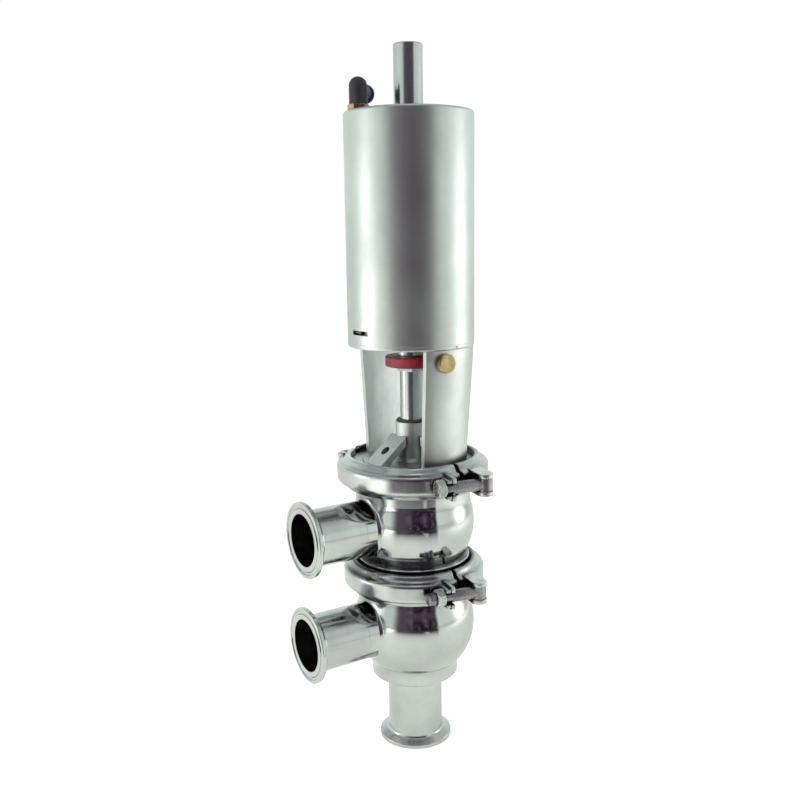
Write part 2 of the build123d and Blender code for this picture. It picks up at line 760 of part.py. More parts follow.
def top_rod():
    """The rod that stands out of the cover and shows the valve's position."""
    low_z = piston_top_z + fitted_gap
    bar = turned(
        [(0, low_z), (top_rod_r, low_z), (top_rod_r, top_rod_top_z), (0, top_rod_top_z)],
        [((top_rod_r, top_rod_top_z), top_rod_round)],
    )
    return bar - drum(piston_bolt_r + fitted_gap, low_z, piston_top_z + piston_bolt_length + loose_gap)


def return_spring():
    """The spring that lifts the piston, wound between the head's floor and the piston's pocket."""
    low_z = head_floor_z + loose_gap + spring_wire_r
    high_z = piston_z + piston_pocket_depth - loose_gap - spring_wire_r
    height = high_z - low_z
    path = Helix(height / spring_turns, height, spring_mean_r, center=(0, 0, low_z))
    section = Plane(path @ 0, z_dir=path % 0) * Circle(spring_wire_r)
    return sweep(section, path, is_frenet=True)


# Stem train

def indicator_ring():
    """The red ring clamped on the stem, which a switch or an eye reads through the window."""
    inner_r = stem_thread_r + fitted_gap
    low_z = indicator_z + fitted_gap
    high_z = rod_end_z - fitted_gap
    cut = indicator_chamfer
    corners = [(inner_r, low_z), (indicator_r - cut, low_z), (indicator_r, low_z + cut)]
    corners += [(indicator_r, high_z - cut), (indicator_r - cut, high_z), (inner_r, high_z)]
    return turned(corners)


def lock_nut():
    """The thin nut that locks the stem in the piston rod."""
    nut = hexagon(lock_nut_flats, lock_nut_z + fitted_gap, indicator_z, fitted_gap * 10)
    return nut - drum(stem_thread_r + fitted_gap, lock_nut_z, indicator_z)


def valve_stem():
    """The polished stem, threaded at both ends."""
    shank = drum(stem_r, plug_top_z + plug_hub_height + fitted_gap, lock_nut_z - fitted_gap)
    upper = drum(stem_thread_r, lock_nut_z - body_wall, rod_end_z + stem_rod_depth)
    lower = drum(stem_thread_r, plug_top_z + plug_hub_height - stem_plug_depth, plug_top_z + 2 * plug_hub_height)
    return shank + upper + lower


def valve_plug():
    """The double plug: a cone at each end, a waist between, and a groove for each seal."""
    top_shoulder_z = seat_cone_top - cone_gap - plug_r
    low_shoulder_z = seat_cone_low + cone_gap + stroke + plug_r
    waist_r = plug_r - plug_waist_depth
    waist_low_z = low_shoulder_z + plug_waist_margin
    waist_high_z = top_shoulder_z - plug_waist_margin
    corners = [(0, plug_bottom_z), (plug_bottom_r, plug_bottom_z), (plug_r, low_shoulder_z)]
    corners += [(plug_r, waist_low_z), (waist_r, waist_low_z + plug_waist_depth)]
    corners += [(waist_r, waist_high_z - plug_waist_depth), (plug_r, waist_high_z)]
    corners += [(plug_r, top_shoulder_z), (plug_top_r, plug_top_z), (plug_hub_r, plug_top_z)]
    hub_top_z = plug_top_z + plug_hub_height
    corners += [(stem_r, hub_top_z), (0, hub_top_z)]
    solid = turned(corners)
    for low_z in (upper_seal_z(), lower_seal_z()):
        solid -= ring(plug_seal_inner_r() - fitted_gap, ball_r, low_z - fitted_gap,
                      low_z + plug_seal_height + fitted_gap)
    bore_z = hub_top_z - stem_plug_depth - loose_gap
    return solid - drum(stem_thread_r + fitted_gap, bore_z, hub_top_z)


def plug_seal_inner_r():
    """How deep the plug's seals are let in."""
    return plug_r - plug_seal_depth - plug_seal_inset


def upper_seal_z():
    """Where the plug's upper seal starts."""
    return seat_cone_top - cone_gap - plug_r + plug_seal_inset


def lower_seal_z():
    """Where the plug's lower seal starts."""
    return seat_cone_low + cone_gap + stroke + plug_r - plug_seal_inset - plug_seal_height


def plug_seal(low_z, side):
    """A seal flush with the plug's upper (+1) or lower (-1) cone."""
    high_z = low_z + plug_seal_height
    wide_r = plug_r - plug_seal_inset
    narrow_r = wide_r - plug_seal_height
    low_r, high_r = (wide_r, narrow_r) if side > 0 else (narrow_r, wide_r)
    inner_r = plug_seal_inner_r()
    return turned([(inner_r, low_z), (low_r, low_z), (high_r, high_z), (inner_r, high_z)])


# Air fitting

def fitting_nut():
    """The brass base of the air fitting: a hexagon, a thread below and a pivot above."""
    low_z = cylinder_top_z + fitted_gap
    high_z = low_z + fitting_nut_height
    body = Rot(0, 0, fitting_turn) * hexagon(fitting_flats, low_z, high_z, nut_chamfer / 2)
    body += drum(fitting_thread_r - fitted_gap, low_z - fitting_thread_length, low_z + running_gap)
    body += drum(fitting_pivot_r, high_z - running_gap, high_z + fitting_pivot_height)
    body -= drum(fitting_bore_r, low_z - fitting_thread_length, high_z + fitting_pivot_height)
    return Pos(*polar(fitting_at_r, fitting_azimuth)) * body


def along_leg(solid):
    """Places a solid drawn along +Z on the elbow's leg, from the fitting's axis outwards."""
    out = polar(1, elbow_azimuth)
    origin = polar(fitting_at_r, fitting_azimuth, elbow_axis_z())
    return Plane(origin=origin, x_dir=(0, 0, 1), z_dir=out) * solid


def elbow_axis_z():
    """The height of the elbow's level leg."""
    return cylinder_top_z + fitting_nut_height + elbow_height - elbow_axis_drop


def elbow_body():
    """The black elbow that turns on the brass pivot and takes the air tube."""
    base_z = cylinder_top_z + fitting_nut_height + fitted_gap + loose_gap
    axis_z = elbow_axis_z()
    here = Pos(*polar(fitting_at_r, fitting_azimuth))
    dome_z = axis_z + elbow_axis_drop - elbow_r
    post = here * drum(elbow_r, base_z, dome_z)
    dome = here * Pos(0, 0, dome_z) * Sphere(elbow_r)
    barrel = along_leg(turned(
        [(0, 0), (elbow_leg_r, 0), (elbow_leg_r, elbow_leg), (0, elbow_leg)],
        [((elbow_leg_r, elbow_leg), elbow_end_round)],
    ))
    pivot_top_z = cylinder_top_z + fitting_nut_height + fitting_pivot_height + loose_gap
    pivot_hole = here * drum(fitting_pivot_r + running_gap, base_z, pivot_top_z)
    way_up = here * drum(fitting_bore_r, base_z, axis_z)
    socket = along_leg(drum(air_tube_socket_r, elbow_leg / 3, elbow_leg))
    way_out = along_leg(drum(fitting_bore_r, 0, elbow_leg))
    sleeve_start = elbow_leg - collar_sleeve_length - collar_travel
    sleeve_hole = along_leg(drum(collar_sleeve_r + running_gap, sleeve_start, elbow_leg))
    return post + dome + barrel - pivot_hole - way_up - socket - way_out - sleeve_hole


def release_collar():
    """The blue ring that frees the air tube when it is pressed in."""
    flange_z = elbow_leg + collar_travel + loose_gap / 2
    inner_r = air_tube_socket_r
    start = flange_z - collar_sleeve_length
    corners = [(inner_r, start), (collar_sleeve_r, start), (collar_sleeve_r, flange_z)]
    corners += [(collar_flange_r, flange_z), (collar_flange_r, flange_z + collar_flange_thickness)]
    corners += [(inner_r, flange_z + collar_flange_thickness)]
    return along_leg(turned(corners))


# Clamps

def clamp_section(rim_r, stack_half, lip_width):
    """The corners and rounds of a clamp's grooved section, about its own mid plane."""
    lip_inner_r = rim_r - lip_width
    groove_bottom_r = rim_r + clamp_rim_gap
    outer_r = groove_bottom_r + clamp_wall
    slope = tan(radians(flange_slope))
    flank_low = stack_half + clamp_flank_gap - clamp_rim_gap * slope
    flank_high = stack_half + clamp_flank_gap + lip_width * slope
    top = clamp_half_height
    outside = [
        ((lip_inner_r, top), clamp_edge_round),
        ((lip_inner_r + clamp_lip_flat, top), clamp_lip_round),
        ((outer_r - clamp_hollow_inset, top - clamp_hollow_drop), clamp_hollow_round),
        ((outer_r, top - clamp_side_drop), clamp_side_round),
    ]
    upper = [(groove_bottom_r, flank_low), (lip_inner_r, flank_high)] + [corner for corner, _ in outside]
    lower = [(r, -z) for r, z in reversed(upper)]
    rounds = outside + [((r, -z), size) for (r, z), size in outside]
    return upper + lower, rounds


def clamp_arc(rim_r, stack_half, lip_width, start, end):
    """A stretch of the clamp's section between two azimuths, about the mid plane z = 0."""
    corners, rounds = clamp_section(rim_r, stack_half, lip_width)
    return Rot(0, 0, start - 90) * turned(corners, rounds, end - start)


def clamp_outer_r(rim_r):
    """The outer radius of a clamp on a flange."""
    return rim_r + clamp_rim_gap + clamp_wall


def hinge_axis(rim_r, azimuth):
    """Where a hinge pin of a clamp stands."""
    return polar(clamp_outer_r(rim_r) - hinge_reach, azimuth)


def knuckle(rim_r, azimuth, direction, low_z, high_z):
    """A hinge barrel with the root that joins it to an arc lying in a direction (+1 or -1)."""
    middle_z = (low_z + high_z) / 2
    height = high_z - low_z
    barrel = Cylinder(hinge_barrel_r, height)
    root = Pos(direction * hinge_root_depth / 2, 0, 0) * Box(hinge_root_depth, 2 * hinge_barrel_r - 1.6, height)
    spot = hinge_axis(rim_r, azimuth)
    return Pos(spot.X, spot.Y, middle_z) * Rot(0, 0, azimuth) * (barrel + root)


def hinge_prongs(rim_r, azimuth, direction):
    """The two outer knuckles of a clamp half."""
    upper = knuckle(rim_r, azimuth, direction, hinge_tongue_half + loose_gap, hinge_half_height)
    lower = knuckle(rim_r, azimuth, direction, -hinge_half_height, -hinge_tongue_half - loose_gap)
    return upper + lower


def hinge_hole(rim_r, azimuth, radius):
    """An upright round cut or pin at a hinge."""
    spot = hinge_axis(rim_r, azimuth)
    return Pos(spot.X, spot.Y, 0) * Cylinder(radius, 2 * clamp_half_height)


def bolt_plane(rim_r, pivot_x):
    """The swing bolt's own frame: x along the bolt from its pivot, y outwards."""
    along = Vector(-cos(radians(bolt_skew)), sin(radians(bolt_skew)), 0)
    pivot = Vector(pivot_x, -(clamp_outer_r(rim_r) + pivot_reach), 0)
    return Plane(origin=pivot, x_dir=along, z_dir=(0, 0, 1))


def fork():
    """The two ears that carry the bolt's pivot pin, in the bolt's frame."""
    block = slab((-fork_r, -fork_root, -fork_half_height), (fork_r, 0, fork_half_height))
    block += Cylinder(fork_r, 2 * fork_half_height)
    gap_half = eye_half_height + loose_gap
    gap = slab((-2 * fork_r, -fork_gap_root, -gap_half), (2 * fork_r, 2 * fork_r, gap_half))
    return block - gap - Cylinder(pivot_pin_r, 2 * clamp_half_height)


def lug(start):
    """The slotted ear that the nut bears on: a plate with a narrower hub behind, in the bolt's frame."""
    plate_end = start + lug_plate
    end = start + lug_thickness
    plate = slab((start, -lug_root, -lug_half_height), (plate_end, lug_tip, lug_half_height))
    tips = plate.edges().filter_by(Axis.X).group_by(Axis.Y)[-1]
    plate = fillet(tips, lug_round)
    hub = slab((start, -lug_root, -lug_hub_half_height), (end, lug_hub_tip, lug_hub_half_height))
    slot_half = bolt_r + loose_gap
    slot = slab((start - 1, 0, -slot_half), (end + 1, 2 * lug_tip, slot_half))
    slot += Pos((start + end) / 2, 0, 0) * Rot(0, 90, 0) * Cylinder(slot_half, lug_thickness + 2)
    return plate + hub - slot


def clamp_bolt(lug_start, tip_past_nut):
    """The swing bolt: an eye on the pivot pin and a round shank, in the bolt's frame."""
    tip = lug_start + lug_thickness + loose_gap + nut_height + tip_past_nut
    shank = Pos(tip / 2, 0, 0) * Rot(0, 90, 0) * Cylinder(bolt_r, tip)
    shank -= Cylinder(eye_r - running_gap, 4 * eye_r)
    tip_edge = shank.edges().filter_by(GeomType.CIRCLE).sort_by(Axis.X)[-1]
    shank = chamfer(tip_edge, nut_chamfer)
    eye = Cylinder(eye_r, 2 * eye_half_height)
    return eye + shank_neck() + shank - Cylinder(pivot_pin_r + running_gap, 4 * eye_r)


def shank_neck():
    """The flattened root that runs the bolt's shank into its eye."""
    reach = eye_r + loose_gap
    neck = Pos(reach / 2, 0, 0) * Rot(0, 90, 0) * Cylinder(bolt_r, reach)
    return neck & slab((0, -eye_r, -eye_half_height), (reach, eye_r, eye_half_height))


def clamp_nut(lug_start):
    """The hexagon nut against the lug, in the bolt's frame."""
    start = lug_start + lug_thickness + loose_gap
    nut = hexagon(nut_flats, 0, nut_height, nut_chamfer) - drum(bolt_r + running_gap, 0, nut_height)
    return Pos(start, 0, 0) * Rot(0, 90, 0) * nut


def pivot_pin():
    """The plain pin of the swing bolt, flush with the fork's ears, in the bolt's frame."""
    return Cylinder(pivot_pin_r - fitted_gap, 2 * fork_half_height)


def hinge_pins(rim_r):
    """The two pins that join the clamp's halves to its back link."""
    pins = []
    for azimuth in (hinge_azimuth, -hinge_azimuth):
        spot = hinge_axis(rim_r, azimuth)
        height = 2 * (hinge_half_height + hinge_pin_head)
        pins.append(Pos(spot.X, spot.Y, 0) * Cylinder(hinge_pin_r - fitted_gap, height))
    return Compound(children=pins)


def clamp(prefix, rim_r, stack_half, lip_width, middle_z, pivot_x, lug_start, tip_past_nut):
    """All the pieces of one clamp, by node name."""
    frame = bolt_plane(rim_r, pivot_x)
    arc = (rim_r, stack_half, lip_width)
    clear_r = hinge_barrel_r + loose_gap
    bolt_half = clamp_arc(*arc, clamp_right_end, hinge_azimuth - hinge_setback)
    bolt_half += frame * fork()
    nut_half = clamp_arc(*arc, hinge_setback - hinge_azimuth, clamp_left_end)
    nut_half += frame * lug(lug_start)
    nut_half -= frame * (Pos(lug_start / 2, 0, 0) * Rot(0, 90, 0) * Cylinder(bolt_r + loose_gap, lug_start))
    link = clamp_arc(*arc, hinge_azimuth + hinge_setback, 360 - hinge_azimuth - hinge_setback)
    for azimuth, half_direction in ((hinge_azimuth, -1), (-hinge_azimuth, 1)):
        tongue_room = knuckle(rim_r, azimuth, 0, -hinge_tongue_half - loose_gap, hinge_tongue_half + loose_gap)
        room = hinge_hole(rim_r, azimuth, clear_r)
        hole = hinge_hole(rim_r, azimuth, hinge_pin_r)
        tongue = knuckle(rim_r, azimuth, -half_direction, -hinge_tongue_half, hinge_tongue_half)
        prongs = hinge_prongs(rim_r, azimuth, half_direction)
        link = link - room + tongue - hole
        if half_direction < 0:
            bolt_half = bolt_half - room + prongs - hole
        else:
            nut_half = nut_half - room + prongs - hole
    pieces = {
        "nut_half": nut_half,
        "bolt_half": bolt_half,
        "link": link,
        "hinge_pins": hinge_pins(rim_r),
        "pivot_pin": frame * pivot_pin(),
        "bolt": frame * clamp_bolt(lug_start, tip_past_nut),
        "nut": frame * clamp_nut(lug_start),
    }
    return {prefix + "_" + name: Pos(0, 0, middle_z) * piece for name, piece in pieces.items()}


parts = {
    "bottom_ferrule": ferrule(base_z),
    "lower_body": lower_body(),
    "lower_side_ferrule": side_ferrule(lower_port_z),
    "seat_ring": seat_ring(),
    "body_gasket": flat_gasket(lower_flange_r, lower_face_z),
    "upper_body": upper_body(),
    "upper_side_ferrule": side_ferrule(upper_port_z),
    "bonnet_gasket": flat_gasket(upper_flange_r, bonnet_gasket_z),
    "bonnet": bonnet(),
    "stem_seal": stem_seal(),
    "stem_bush": stem_bush(),
    "stem_wiper": stem_wiper(),
    "yoke": yoke(),
    "vent_plug": vent_plug(),
    "lip_screw": lip_screw(),
    "retaining_wire": retaining_wire(),
    "head_o_ring": head_o_ring(),
    "rod_bush": rod_bush(),
    "rod_seal": rod_seal(),
    "actuator_cylinder": actuator_cylinder(),
    "top_cover": top_cover(),
    "top_rod_bush": top_rod_bush(),
    "top_rod_seal": top_rod_seal(),
    "return_spring": return_spring(),
    "piston": piston(),
    "piston_seal": piston_seal(),
    "piston_rod": piston_rod(),
    "top_rod": top_rod(),
    "indicator_ring": indicator_ring(),
    "lock_nut": lock_nut(),
    "valve_stem": valve_stem(),
    "valve_plug": valve_plug(),
    "upper_plug_seal": plug_seal(upper_seal_z(), 1),
    "lower_plug_seal": plug_seal(lower_seal_z(), -1),
    "fitting_nut": fitting_nut(),
    "elbow_body": elbow_body(),
    "release_collar": release_collar(),
}
parts.update(clamp("lower_clamp", lower_flange_r, lower_stack_half, lower_clamp_lip, lower_joint_z,
                   lower_pivot_x, lower_lug_start, lower_bolt_tip))
parts.update(clamp("upper_clamp", upper_flange_r, upper_stack_half, upper_clamp_lip, upper_joint_z,
                   upper_pivot_x, upper_lug_start, upper_bolt_tip))

os.makedirs("parts", exist_ok=True)
for name, shape in parts.items():
    export_step(shape, "parts/" + name + ".step")
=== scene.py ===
import json
from math import cos, pi, radians, sin

import bpy
from mathutils import Matrix, Vector


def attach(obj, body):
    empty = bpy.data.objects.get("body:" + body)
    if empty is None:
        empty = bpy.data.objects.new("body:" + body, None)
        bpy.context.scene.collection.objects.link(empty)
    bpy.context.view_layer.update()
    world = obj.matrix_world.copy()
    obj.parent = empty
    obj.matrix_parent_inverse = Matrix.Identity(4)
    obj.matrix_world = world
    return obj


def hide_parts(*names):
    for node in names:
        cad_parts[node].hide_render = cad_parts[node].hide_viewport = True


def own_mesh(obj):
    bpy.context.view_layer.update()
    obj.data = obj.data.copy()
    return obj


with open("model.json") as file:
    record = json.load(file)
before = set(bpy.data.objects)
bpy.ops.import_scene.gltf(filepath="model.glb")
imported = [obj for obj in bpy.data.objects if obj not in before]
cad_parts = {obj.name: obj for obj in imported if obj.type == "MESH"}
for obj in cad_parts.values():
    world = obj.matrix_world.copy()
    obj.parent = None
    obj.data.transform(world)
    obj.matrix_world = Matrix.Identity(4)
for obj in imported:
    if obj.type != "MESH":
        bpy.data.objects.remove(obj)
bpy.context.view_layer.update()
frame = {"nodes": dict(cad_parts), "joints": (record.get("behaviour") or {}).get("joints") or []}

# The scene of a divert seat valve. Lengths are in metres, in the part's own frame: +Z up the stem, from the
# bottom port's face. An azimuth is an angle about Z, counted from -Y towards +X.
MM = 0.001
nodes = frame["nodes"]
joints = {joint["name"]: joint for joint in frame["joints"]}

# Camera
CAMERA_AZIMUTH = radians(-32.4)
CAMERA_DISTANCE = 615.2 * MM
CAMERA_HEIGHT = 355.65 * MM
CAMERA_YAW = 0.0130
CAMERA_PITCH = -0.1801
CAMERA_ROLL = -0.0138
SENSOR_WIDTH = 36.0
FOCAL_LENGTH = 41.48

# Colours
STEEL = (0.61, 0.63, 0.62)
STEEL_DARK = (0.49, 0.50, 0.50)
SATIN = (0.64, 0.67, 0.65)
SATIN_DARK = (0.56, 0.59, 0.57)
# The yoke's inside: painted light, a lighter tone for the light that falls inside, with real stains in
# CAST_STAIN
CAST_INSIDE_LIT = (0.78, 0.83, 0.81)
CAST_STAIN = (0.60, 0.65, 0.63)
ROD_STEEL = (0.54, 0.57, 0.56)
ROD_STEEL_DARK = (0.43, 0.45, 0.45)
RED = (0.17, 0.003, 0.012)
RED_DARK = (0.09, 0.002, 0.006)
BRASS = (0.66, 0.52, 0.28)
BRASS_DARK = (0.36, 0.25, 0.11)
BLACK = (0.013, 0.011, 0.018)
BLACK_DARK = (0.009, 0.008, 0.012)
BLUE = (0.012, 0.05, 0.20)
BLUE_DARK = (0.01, 0.05, 0.22)
IVORY = (0.62, 0.56, 0.45)
IVORY_DARK = (0.50, 0.44, 0.34)
RUBBER = (0.020, 0.019, 0.020)
RUBBER_DUST = (0.06, 0.06, 0.06)
BOLT = (0.38, 0.36, 0.38)
BOLT_DARK = (0.18, 0.16, 0.18)
# Painted shade, laid into crevices, narrow gaps and thread troughs
PAINTED_SHADE = (0.030, 0.018, 0.028)
CLOTH_DARK = (0.026, 0.012, 0.028)
CLOTH_DIM = (0.150, 0.120, 0.150)
SURROUND = (0.90, 0.98, 0.94)
CEILING = (0.30, 0.32, 0.34)
FLOOR = (0.96, 0.96, 0.96)
FLOOR_MIRRORED = (0.66, 0.69, 0.64)
WHITE = (1.0, 1.0, 1.0)

# Edges, and the clamp bolts' threads
FINE_EDGE = 0.25 * MM
MOULDED_EDGE = 0.3 * MM
POLISHED_EDGE = 0.35 * MM
BLASTED_EDGE = 0.4 * MM
CLAMP_EDGE = 2.0 * MM
EDGE_SAMPLES = 4
CREVICE_SAMPLES = 6
THREAD_PITCH = 1.25 * MM
THREAD_DEPTH = 0.012 * MM
EYE_REACH = 11 * MM

# Studio
VALVE_MIDDLE = 0.24
SIDE_DISTANCE = 1.15
GLARE_DISTANCE = 0.75
GLARE_AZIMUTH = radians(96)
FLOOR_HALF_WIDTH = 6.0
FLOOR_GAP = 0.4 * MM
FLOOR_GLOW = 0.34
WORLD_LIGHT = 0.72
CLOTH_RADIUS = 1.5
CLOTH_LEFT = radians(-46)
CLOTH_LEFT_FADE = radians(18)
CLOTH_RIGHT = radians(47)
CLOTH_RIGHT_FADE = radians(6)
CLOTH_LOW = -0.30
CLOTH_HIGH = 1.75
CLOTH_FRONT = 0.12
CLOTH_FRONT_FADE = 0.75


def polar(radius, azimuth, z=0.0):
    """A point at a radius and azimuth about Z."""
    return Vector((radius * sin(azimuth), -radius * cos(azimuth), z))


def scaled(colour, share, lift=0.0):
    """A colour made lighter or darker by a share, and lifted."""
    return tuple(min(1.0, c * share + lift) for c in colour)


def add_object(name, data):
    """A new object in the scene, of a mesh, a lamp or a camera."""
    thing = bpy.data.objects.new(name, data)
    bpy.context.scene.collection.objects.link(thing)
    return thing


def grid_mesh(name, point, across, up):
    """A sheet of quads from a function of two shares between 0 and 1."""
    verts = [point(i / across, j / up) for j in range(up + 1) for i in range(across + 1)]
    row = across + 1
    faces = [(j * row + i, j * row + i + 1, (j + 1) * row + i + 1, (j + 1) * row + i)
             for j in range(up) for i in range(across)]
    data = bpy.data.meshes.new(name)
    data.from_pydata(verts, [], faces)
    return data


class Nodes:
    """Short calls for building a node tree."""

    def __init__(self, tree):
        self.tree = tree

    def add(self, kind, **sockets):
        """Adds a node and fills in its sockets, with constants or links."""
        node = self.tree.nodes.new(kind)
        for socket, value in sockets.items():
            self.fill(node.inputs[socket.replace("_", " ")], value)
        return node

    def fill(self, socket, value):
        """Links an output to a socket, or sets the socket's constant."""
        if isinstance(value, bpy.types.NodeSocket):
            self.tree.links.new(value, socket)
        elif isinstance(value, tuple) and socket.type == "RGBA":
            socket.default_value = (*value, 1)
        else:
            socket.default_value = value

    def ranged(self, value, low, high, to_low=0.0, to_high=1.0, soft=False):
        """A value brought from one range to another, and kept there."""
        node = self.add("ShaderNodeMapRange", Value=value, From_Min=low, From_Max=high,
                        To_Min=to_low, To_Max=to_high)
        if soft:
            node.interpolation_type = "SMOOTHSTEP"
        return node.outputs["Result"]

    def mixed(self, share, first, second):
        """A colour between two colours."""
        node = self.tree.nodes.new("ShaderNodeMix")
        node.data_type = "RGBA"
        factor, first_colour, second_colour = node.inputs["Factor"], node.inputs[6], node.inputs[7]
        for socket, value in ((factor, share), (first_colour, first), (second_colour, second)):
            self.fill(socket, value)
        return node.outputs[2]

    def maths(self, operation, *values):
        """One operation on one or two values."""
        node = self.tree.nodes.new("ShaderNodeMath")
        node.operation = operation
        for socket, value in zip(node.inputs, values):
            self.fill(socket, value)
        return node.outputs[0]

    def vector(self, operation, first, second=(0, 0, 0)):
        """One operation on vectors: its node, for its vector or its number."""
        node = self.tree.nodes.new("ShaderNodeVectorMath")
        node.operation = operation
        self.fill(node.inputs[0], first)
        self.fill(node.inputs[1], second)
        return node

    def place(self):
        """The object's own coordinates."""
        return self.add("ShaderNodeTexCoord").outputs["Object"]

    def is_ray(self, *kinds):
        """1 for a ray of one of the kinds, or else 0."""
        paths = self.add("ShaderNodeLightPath").outputs
        found = paths[f"Is {kinds[0]} Ray"]
        for kind in kinds[1:]:
            found = self.maths("MAXIMUM", found, paths[f"Is {kind} Ray"])
        return found


# Camera and surround

def make_camera():
    """The camera where the photograph was taken from."""
    data = bpy.data.cameras.new("camera")
    data.sensor_width = SENSOR_WIDTH
    data.lens = FOCAL_LENGTH
    data.clip_start = 0.01
    data.clip_end = 50.0
    camera = add_object("camera", data)
    turn = Matrix.Rotation(CAMERA_AZIMUTH + CAMERA_YAW, 4, "Z")
    tilt = Matrix.Rotation(pi / 2 + CAMERA_PITCH, 4, "X")
    roll = Matrix.Rotation(CAMERA_ROLL, 4, "Z")
    place = Matrix.Translation(polar(CAMERA_DISTANCE, CAMERA_AZIMUTH, CAMERA_HEIGHT))
    camera.matrix_world = place @ turn @ tilt @ roll
    bpy.context.scene.camera = camera


def make_world():
    """A surround that is white behind the valve, and in its reflections a pale room with a dim ceiling."""
    world = bpy.data.worlds.new("studio")
    bpy.context.scene.world = world
    world.use_nodes = True
    n = Nodes(world.node_tree)
    background = world.node_tree.nodes["Background"].inputs
    way = n.add("ShaderNodeTexCoord").outputs["Generated"]
    upwards = n.add("ShaderNodeSeparateXYZ", Vector=way).outputs["Z"]
    beams = n.add("ShaderNodeTexNoise", Vector=way, Scale=2.4, Detail=2.0).outputs["Fac"]
    ceiling = n.maths("MULTIPLY", n.ranged(upwards, 0.22, 0.75, soft=True),
                      n.ranged(beams, 0.38, 0.60, 0.25, 1.0, soft=True))
    room = n.mixed(ceiling, SURROUND, CEILING)
    n.fill(background["Color"], n.mixed(n.is_ray("Glossy"), WHITE, room))
    n.fill(background["Strength"],
           n.ranged(n.is_ray("Camera", "Glossy", "Transmission"), 0, 1, WORLD_LIGHT, 1.0))


# Studio

def aimed(azimuth, height, distance):
    """A place at an azimuth from the camera's, turned to face the valve's middle."""
    spot = polar(distance, CAMERA_AZIMUTH + azimuth, height)
    aim = Vector((0, 0, VALVE_MIDDLE)) - spot
    return Matrix.Translation(spot) @ aim.to_track_quat("-Z", "Y").to_matrix().to_4x4()


def make_lamp(name, place, width, tall, watts):
    """A soft box that lights dull surfaces; the glowing boards are what shiny ones reflect."""
    data = bpy.data.lights.new(name, "AREA")
    data.shape = "RECTANGLE"
    data.size = width
    data.size_y = tall
    data.energy = watts
    lamp = add_object(name, data)
    lamp.matrix_world = place
    lamp.visible_glossy = False


def only_reflected(thing):
    """Keeps a studio piece out of everything but reflections."""
    thing.visible_camera = False
    thing.visible_diffuse = False
    thing.visible_shadow = False


def glowing(name, paint_glow):
    """A material that glows with a colour and strength, and lets through what the glow leaves.

    paint_glow gets the nodes and the place, and gives the colour, the strength and the share that glows.
    """
    made = bpy.data.materials.new(name)
    made.use_nodes = True
    made.node_tree.nodes.clear()
    n = Nodes(made.node_tree)
    colour, strength, share = paint_glow(n, n.add("ShaderNodeSeparateXYZ", Vector=n.place()).outputs)
    glow = n.add("ShaderNodeEmission", Color=colour, Strength=strength)
    mix = n.add("ShaderNodeMixShader")
    for socket, value in zip(mix.inputs, (share, n.add("ShaderNodeBsdfTransparent").outputs[0],
                                          glow.outputs[0])):
        n.fill(socket, value)
    n.add("ShaderNodeOutputMaterial", Surface=mix.outputs[0])
    return made


def make_board(name, place, width, tall, level):
    """A glowing board with soft edges, seen only in reflections."""
    def soft_edges(n, at):
        shares = [n.ranged(n.maths("ABSOLUTE", at[axis]), 0.5 * size, 0.0, soft=True)
                  for axis, size in (("X", width), ("Y", tall))]
        return WHITE, level, n.maths("POWER", n.maths("MULTIPLY", *shares), 2.0)

    board = add_object(name, grid_mesh(
        name, lambda u, v: ((u - 0.5) * width, (v - 0.5) * tall, 0), 4, 4))
    board.matrix_world = place
    board.data.materials.append(glowing(name, soft_edges))
    only_reflected(board)


def cloth(n, at):
    """The dark cloth: lighter to its left and high up, uneven, and fading out at its edges."""
    azimuth = n.maths("ARCTAN2", at["X"], n.maths("MULTIPLY", at["Y"], -1.0))
    azimuth = n.maths("SUBTRACT", azimuth, CAMERA_AZIMUTH)
    level_part = n.vector("MULTIPLY", n.place(), (1, 1, 0)).outputs[0]
    radius = n.vector("LENGTH", level_part).outputs["Value"]
    folds = n.add("ShaderNodeTexNoise", Vector=n.place(), Scale=3.0, Detail=4.0).outputs["Fac"]
    to_the_left = n.ranged(azimuth, radians(2), radians(-16))
    high_up = n.ranged(at["Z"], 0.35, 0.75)
    lighter = n.maths("MULTIPLY", n.maths("MAXIMUM", to_the_left, high_up), 0.75)
    dim = n.maths("MAXIMUM", lighter, n.ranged(folds, 0.48, 0.62))
    left, right, front = (n.ranged(value, edge, edge + fade, soft=True) for value, edge, fade in (
        (azimuth, CLOTH_LEFT, CLOTH_LEFT_FADE),
        (azimuth, CLOTH_RIGHT, -CLOTH_RIGHT_FADE),
        (radius, CLOTH_FRONT, CLOTH_FRONT_FADE)))
    share = n.maths("MULTIPLY", n.maths("MULTIPLY", left, right), front)
    return n.mixed(dim, CLOTH_DARK, CLOTH_DIM), 1.0, share


def floor_material():
    """A white floor that keeps the valve's shadow, and is as bright as the surround to the camera."""
    made = bpy.data.materials.new("floor_white")
    made.use_nodes = True
    n = Nodes(made.node_tree)
    bsdf = made.node_tree.nodes["Principled BSDF"].inputs
    seen = n.is_ray("Camera", "Glossy", "Transmission")
    n.fill(bsdf["Base Color"], n.mixed(n.is_ray("Glossy"), FLOOR, FLOOR_MIRRORED))
    n.fill(bsdf["Roughness"], 0.9)
    n.fill(bsdf["Specular IOR Level"], 0.0)
    n.fill(bsdf["Emission Color"], n.mixed(n.is_ray("Glossy"), WHITE, FLOOR_MIRRORED))
    n.fill(bsdf["Emission Strength"], n.maths("MULTIPLY", seen, FLOOR_GLOW))
    return made


def make_floor():
    """The white floor under the valve."""
    half = FLOOR_HALF_WIDTH
    floor = add_object("floor", grid_mesh(
        "floor", lambda u, v: ((2 * u - 1) * half, (2 * v - 1) * half, -FLOOR_GAP), 8, 8))
    floor.data.materials.append(floor_material())


